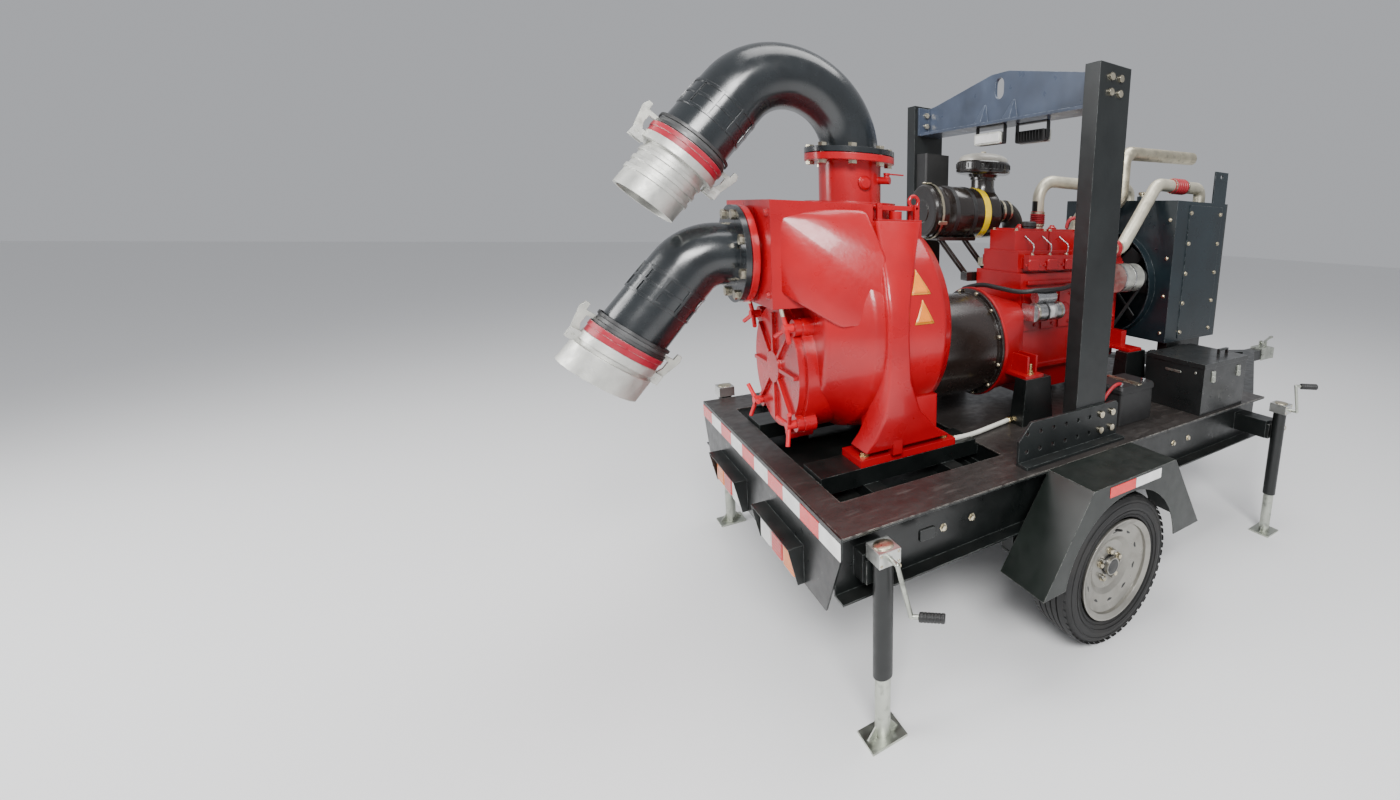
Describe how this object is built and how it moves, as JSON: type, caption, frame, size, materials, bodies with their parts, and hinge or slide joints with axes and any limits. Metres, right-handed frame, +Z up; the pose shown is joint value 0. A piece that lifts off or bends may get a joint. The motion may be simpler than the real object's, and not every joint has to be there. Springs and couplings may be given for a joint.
{
  "type": "trash pump trailer",
  "caption": "Engine-driven self-priming trash pump on a single-axle trailer with swivel jacks, a lifting frame, lever hose couplings and a toolbox.",
  "frame": {"origin": "on the ground, at the middle of the whole machine's length and width", "axes": "+X towards the tow coupling, +Z up, +Y to the machine's left"},
  "size_m": [4.7802, 2.112, 2.222],
  "materials": {
    "chassis_black": "satin",
    "deck_black": "satin, scuffed",
    "pump_red": "gloss",
    "engine_red": "gloss",
    "beam_blue": "satin",
    "post_black": "satin",
    "elbow_black": "gloss",
    "coupling_metal": "cast, satin",
    "galvanised": "zinc",
    "steel": "turned",
    "rim_grey": "satin",
    "tyre_rubber": "matt",
    "belt_rubber": "matt",
    "cast_dark": "as cast",
    "lens": "moulded",
    "plastic_black": "moulded",
    "zinc": "yellow zinc",
    "alu": "cast",
    "exhaust_steel": "heat tinted",
    "radiator_blue": "satin",
    "cleaner_black": "gloss"
  },
  "bodies": {
    "chassis": {"deck_frame": "chassis_black", "deck_plate": "deck_black", "rear_panel": "chassis_black", "lamps": "lens", "drawbar": "chassis_black", "tow_coupling": "galvanised", "axle": "chassis_black", "fenders": "chassis_black", "lifting_posts": "post_black", "lifting_beam": "beam_blue", "fasteners": "zinc", "control_box": "plastic_black", "pump_casing": "pump_red", "cover_plate": "pump_red", "bearing_housing": "cast_dark", "discharge_elbow": "elbow_black", "suction_elbow": "elbow_black", "discharge_coupling": "coupling_metal", "suction_coupling": "coupling_metal", "coupling_drum": "post_black", "flywheel_housing": "engine_red", "engine_block": "engine_red", "cylinder_head": "engine_red", "fan_belt": "belt_rubber", "starter": "steel", "alternator": "alu", "radiator": "radiator_blue", "air_pipes": "alu", "exhaust_system": "exhaust_steel", "air_cleaner": "cleaner_black", "toolbox": "chassis_black"},
    "tow_lever": {"coupling_lever": "galvanised"},
    "wheel_left": {"rim_left": "rim_grey", "tyre_left": "tyre_rubber"},
    "wheel_right": {"rim_right": "rim_grey", "tyre_right": "tyre_rubber"},
    "driveline": {"impeller": "cast_dark", "pump_shaft": "steel", "crankshaft": "steel"},
    "fan": {"cooling_fan": "plastic_black"},
    "alternator_rotor": {"alternator_rotor": "steel"},
    "fill_clamp": {"fill_clamp": "pump_red"},
    "valve_lever": {"valve_lever": "pump_red"},
    "toolbox_lid": {"toolbox_lid": "chassis_black"},
    "discharge_lever_upper": {"discharge_lever_upper": "coupling_metal"},
    "discharge_lever_lower": {"discharge_lever_lower": "coupling_metal"},
    "suction_lever_upper": {"suction_lever_upper": "coupling_metal"},
    "suction_lever_lower": {"suction_lever_lower": "coupling_metal"},
    "jack_rear_right": {"jack_tube_rear_right": "chassis_black"},
    "leg_rear_right": {"jack_leg_rear_right": "galvanised"},
    "crank_rear_right": {"jack_crank_rear_right": "galvanised"},
    "jack_rear_left": {"jack_tube_rear_left": "chassis_black"},
    "leg_rear_left": {"jack_leg_rear_left": "galvanised"},
    "crank_rear_left": {"jack_crank_rear_left": "galvanised"},
    "jack_front_right": {"jack_tube_front_right": "chassis_black"},
    "leg_front_right": {"jack_leg_front_right": "galvanised"},
    "crank_front_right": {"jack_crank_front_right": "galvanised"},
    "jack_front_left": {"jack_tube_front_left": "chassis_black"},
    "leg_front_left": {"jack_leg_front_left": "galvanised"},
    "crank_front_left": {"jack_crank_front_left": "galvanised"}
  },
  "joints": [
    {"name": "wheel_left_spin", "type": "hinge", "parent": "chassis", "child": "wheel_left", "pos_m": [-0.775, 0.85, 0.294], "axis": [0, 1, 0], "continuous": true},
    {"name": "wheel_right_spin", "type": "hinge", "parent": "chassis", "child": "wheel_right", "pos_m": [-0.775, -0.85, 0.294], "axis": [0, 1, 0], "continuous": true},
    {"name": "driveline_spin", "type": "hinge", "parent": "chassis", "child": "driveline", "pos_m": [-0.81, 0, 1], "axis": [1, 0, 0], "continuous": true},
    {"name": "fan_spin", "type": "hinge", "parent": "chassis", "child": "fan", "pos_m": [0.19, 0, 1.24], "axis": [1, 0, 0], "continuous": true},
    {"name": "alternator_spin", "type": "hinge", "parent": "chassis", "child": "alternator_rotor", "pos_m": [0.09, -0.262, 1.3], "axis": [1, 0, 0], "continuous": true},
    {"name": "tow_lever_lift", "type": "hinge", "parent": "chassis", "child": "tow_lever", "pos_m": [2.245, 0, 0.666], "axis": [0, -1, 0], "range_deg": [0, 60]},
    {"name": "fill_clamp_lift", "type": "hinge", "parent": "chassis", "child": "fill_clamp", "pos_m": [-1.4, -0.205, 1.602], "axis": [0, -1, 0], "range_deg": [0, 100]},
    {"name": "valve_lever_turn", "type": "hinge", "parent": "chassis", "child": "valve_lever", "pos_m": [-1.306, -0.114, 1.727], "axis": [0, 0, -1], "range_deg": [0, 90]},
    {"name": "toolbox_lid_lift", "type": "hinge", "parent": "chassis", "child": "toolbox_lid", "pos_m": [0.27, -0.39, 0.922], "axis": [-1, 0, 0], "range_deg": [0, 75]},
    {"name": "discharge_lever_upper_swing", "type": "hinge", "parent": "chassis", "child": "discharge_lever_upper", "pos_m": [-2.12744, 0, 1.80241], "axis": [0, -1, 0], "range_deg": [0, 100]},
    {"name": "discharge_lever_lower_swing", "type": "hinge", "parent": "chassis", "child": "discharge_lever_lower", "pos_m": [-1.91295, 0, 1.62871], "axis": [0, 1, 0], "range_deg": [0, 32]},
    {"name": "suction_lever_upper_swing", "type": "hinge", "parent": "chassis", "child": "suction_lever_upper", "pos_m": [-2.33968, 0, 1.18868], "axis": [0, -1, 0], "range_deg": [0, 100]},
    {"name": "suction_lever_lower_swing", "type": "hinge", "parent": "chassis", "child": "suction_lever_lower", "pos_m": [-2.12518, 0, 1.01499], "axis": [0, 1, 0], "range_deg": [0, 100]},
    {"name": "jack_rear_right_swivel", "type": "hinge", "parent": "chassis", "child": "jack_rear_right", "pos_m": [-1.698, -0.785, 0.56], "axis": [0, 1, 0], "range_deg": [0, 90]},
    {"name": "jack_rear_right_extend", "type": "slide", "parent": "jack_rear_right", "child": "leg_rear_right", "axis": [0, 0, 1], "range_m": [-0.12, 0.165]},
    {"name": "jack_rear_right_wind", "type": "hinge", "parent": "jack_rear_right", "child": "crank_rear_right", "pos_m": [-1.698, -0.785, 0.618], "axis": [0, 1, 0], "range_deg": [-3700, 5500]},
    {"name": "jack_rear_left_swivel", "type": "hinge", "parent": "chassis", "child": "jack_rear_left", "pos_m": [-1.698, 0.785, 0.56], "axis": [0, 1, 0], "range_deg": [0, 90]},
    {"name": "jack_rear_left_extend", "type": "slide", "parent": "jack_rear_left", "child": "leg_rear_left", "axis": [0, 0, 1], "range_m": [-0.12, 0.165]},
    {"name": "jack_rear_left_wind", "type": "hinge", "parent": "jack_rear_left", "child": "crank_rear_left", "pos_m": [-1.698, 0.785, 0.701], "axis": [0, 1, 0], "range_deg": [-3700, 5500]},
    {"name": "jack_front_right_swivel", "type": "hinge", "parent": "chassis", "child": "jack_front_right", "pos_m": [0.54, -0.893, 0.56], "axis": [0, 1, 0], "range_deg": [0, 90]},
    {"name": "jack_front_right_extend", "type": "slide", "parent": "jack_front_right", "child": "leg_front_right", "axis": [0, 0, 1], "range_m": [-0.12, 0.165]},
    {"name": "jack_front_right_wind", "type": "hinge", "parent": "jack_front_right", "child": "crank_front_right", "pos_m": [0.54, -0.893, 0.681], "axis": [0, 1, 0], "range_deg": [-3700, 5500]},
    {"name": "jack_front_left_swivel", "type": "hinge", "parent": "chassis", "child": "jack_front_left", "pos_m": [0.54, 0.893, 0.56], "axis": [0, 1, 0], "range_deg": [0, 90]},
    {"name": "jack_front_left_extend", "type": "slide", "parent": "jack_front_left", "child": "leg_front_left", "axis": [0, 0, 1], "range_m": [-0.12, 0.165]},
    {"name": "jack_front_left_wind", "type": "hinge", "parent": "jack_front_left", "child": "crank_front_left", "pos_m": [0.54, 0.893, 0.681], "axis": [0, 1, 0], "range_deg": [-3700, 5500]}
  ],
  "couplings": [
    {"joint": "fan_spin", "follows": "driveline_spin", "ratio": 1.2941},
    {"joint": "alternator_spin", "follows": "driveline_spin", "ratio": 2.5882},
    {"joint": "jack_rear_right_wind", "follows": "jack_rear_right_extend", "rad_per_m": 523},
    {"joint": "jack_rear_left_wind", "follows": "jack_rear_left_extend", "rad_per_m": 523},
    {"joint": "jack_front_right_wind", "follows": "jack_front_right_extend", "rad_per_m": 523},
    {"joint": "jack_front_left_wind", "follows": "jack_front_left_extend", "rad_per_m": 523}
  ]
}
